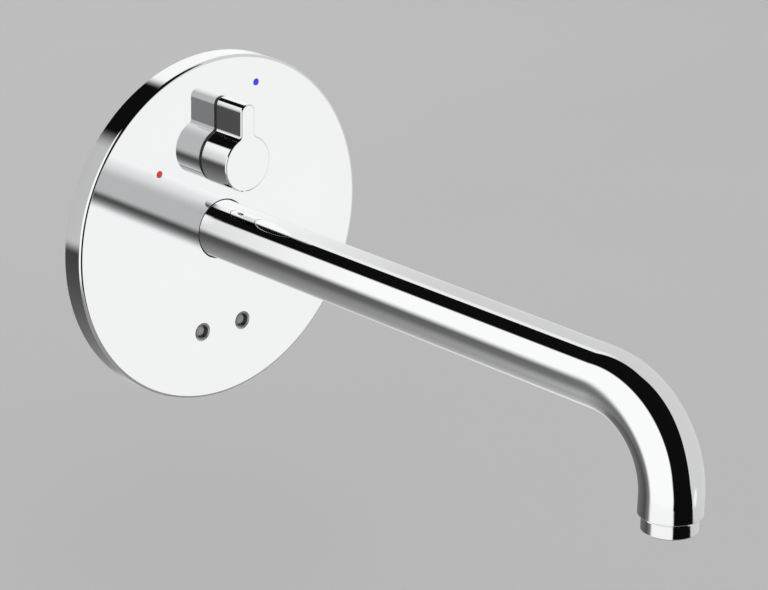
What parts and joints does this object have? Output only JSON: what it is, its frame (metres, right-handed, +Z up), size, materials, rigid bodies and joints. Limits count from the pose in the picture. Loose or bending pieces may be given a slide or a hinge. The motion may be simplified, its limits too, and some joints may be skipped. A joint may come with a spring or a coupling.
{
  "type": "touchless basin mixer",
  "caption": "Wall-mounted touchless basin mixer: round plate, long bent spout, temperature knob, sensor windows and in-wall valve unit.",
  "frame": {"origin": "centre of the round cover plate, in the surface of the wall it is fixed to", "axes": "+Z up, -Y out of the wall towards the user, +X to the user's right; everything at positive Y is inside the wall"},
  "size_m": [0.17, 0.3718, 0.17],
  "materials": {
    "chrome": "polished chrome plate",
    "hot_mark": "red enamel",
    "cold_mark": "blue enamel",
    "slide_ring": "black acetal",
    "brass": "machined and cast brass",
    "rubber": "moulded",
    "grey_plastic": "moulded acetal",
    "steel": "stainless steel",
    "ceramic": "lapped ceramic",
    "white_plastic": "glass-filled plastic",
    "black_plastic": "fine moulded texture",
    "sensor_lens": "smoked clear plastic",
    "sensor_eye": "tinted epoxy",
    "board": "green solder mask",
    "battery": "shrink sleeve",
    "lead": "soft two-core sheath"
  },
  "bodies": {
    "root": {"cover_plate": "chrome", "spout_tube": "chrome", "stream_former_housing": "chrome", "left_sensor_bezel": "chrome", "right_sensor_bezel": "chrome", "hot_dot": "hot_mark", "cold_dot": "cold_mark", "spout_slide_ring": "slide_ring", "spout_shank": "brass", "outlet_sleeve": "brass", "spout_nut": "brass", "cartridge_nut": "brass", "mixing_body": "brass", "spout_sealing_rings": "rubber", "outlet_washer": "rubber", "cartridge_base_seal": "rubber", "cover_ring": "rubber", "valve_membrane": "rubber", "lead_gland": "rubber", "stream_former_grid": "grey_plastic", "temperature_stop": "grey_plastic", "hot_check_guide": "grey_plastic", "cold_check_guide": "grey_plastic", "stream_former_screen": "steel", "body_screws": "steel", "control_screws": "steel", "hot_strainer": "steel", "cold_strainer": "steel", "hot_check_spring": "steel", "cold_check_spring": "steel", "bonnet_screws": "steel", "plunger_spring": "steel", "solenoid_yoke": "steel", "coil_clip": "steel", "lid_screws": "steel", "fixed_disc": "ceramic", "cartridge_housing": "white_plastic", "mounting_carrier": "white_plastic", "valve_bonnet": "white_plastic", "solenoid_coil": "black_plastic", "control_housing": "black_plastic", "control_lid": "black_plastic", "left_sensor_lens": "sensor_lens", "right_sensor_lens": "sensor_lens", "sensor_emitter": "sensor_eye", "sensor_receiver": "sensor_eye", "circuit_board": "board", "battery_pack": "battery", "valve_lead": "lead"},
    "turning_knob": {"knob": "chrome", "knob_glide": "slide_ring", "knob_adapter": "grey_plastic", "knob_grub_screw": "steel", "cartridge_stem": "steel", "stem_sealing_ring": "rubber", "moving_disc": "ceramic"},
    "hot_poppet": {"hot_check_poppet": "grey_plastic"},
    "cold_poppet": {"cold_check_poppet": "grey_plastic"},
    "valve_plunger": {"plunger": "steel"},
    "valve_core": {"membrane_core": "grey_plastic"}
  },
  "joints": [
    {"name": "knob_turn", "type": "hinge", "parent": "root", "child": "turning_knob", "pos_m": [0, 0, 0.037], "axis": [0, -1, 0], "range_deg": [-33, 93]},
    {"name": "hot_check_slide", "type": "slide", "parent": "root", "child": "hot_poppet", "axis": [1, 0, 0], "range_m": [0, 0.0025], "stiffness_N_per_m": 200, "springref_m": -0.002, "deforming": ["hot_check_spring"]},
    {"name": "cold_check_slide", "type": "slide", "parent": "root", "child": "cold_poppet", "axis": [-1, 0, 0], "range_m": [0, 0.0025], "stiffness_N_per_m": 200, "springref_m": -0.002, "deforming": ["cold_check_spring"]},
    {"name": "plunger_slide", "type": "slide", "parent": "root", "child": "valve_plunger", "axis": [0, 1, 0], "range_m": [0, 0.002], "stiffness_N_per_m": 300, "springref_m": -0.003, "deforming": ["plunger_spring"]},
    {"name": "membrane_lift", "type": "slide", "parent": "root", "child": "valve_core", "axis": [0, 1, 0], "range_m": [0, 0.0015], "deforming": ["valve_membrane"]}
  ],
  "couplings": [
    {"joint": "membrane_lift", "follows": "plunger_slide", "ratio": 0.75}
  ]
}
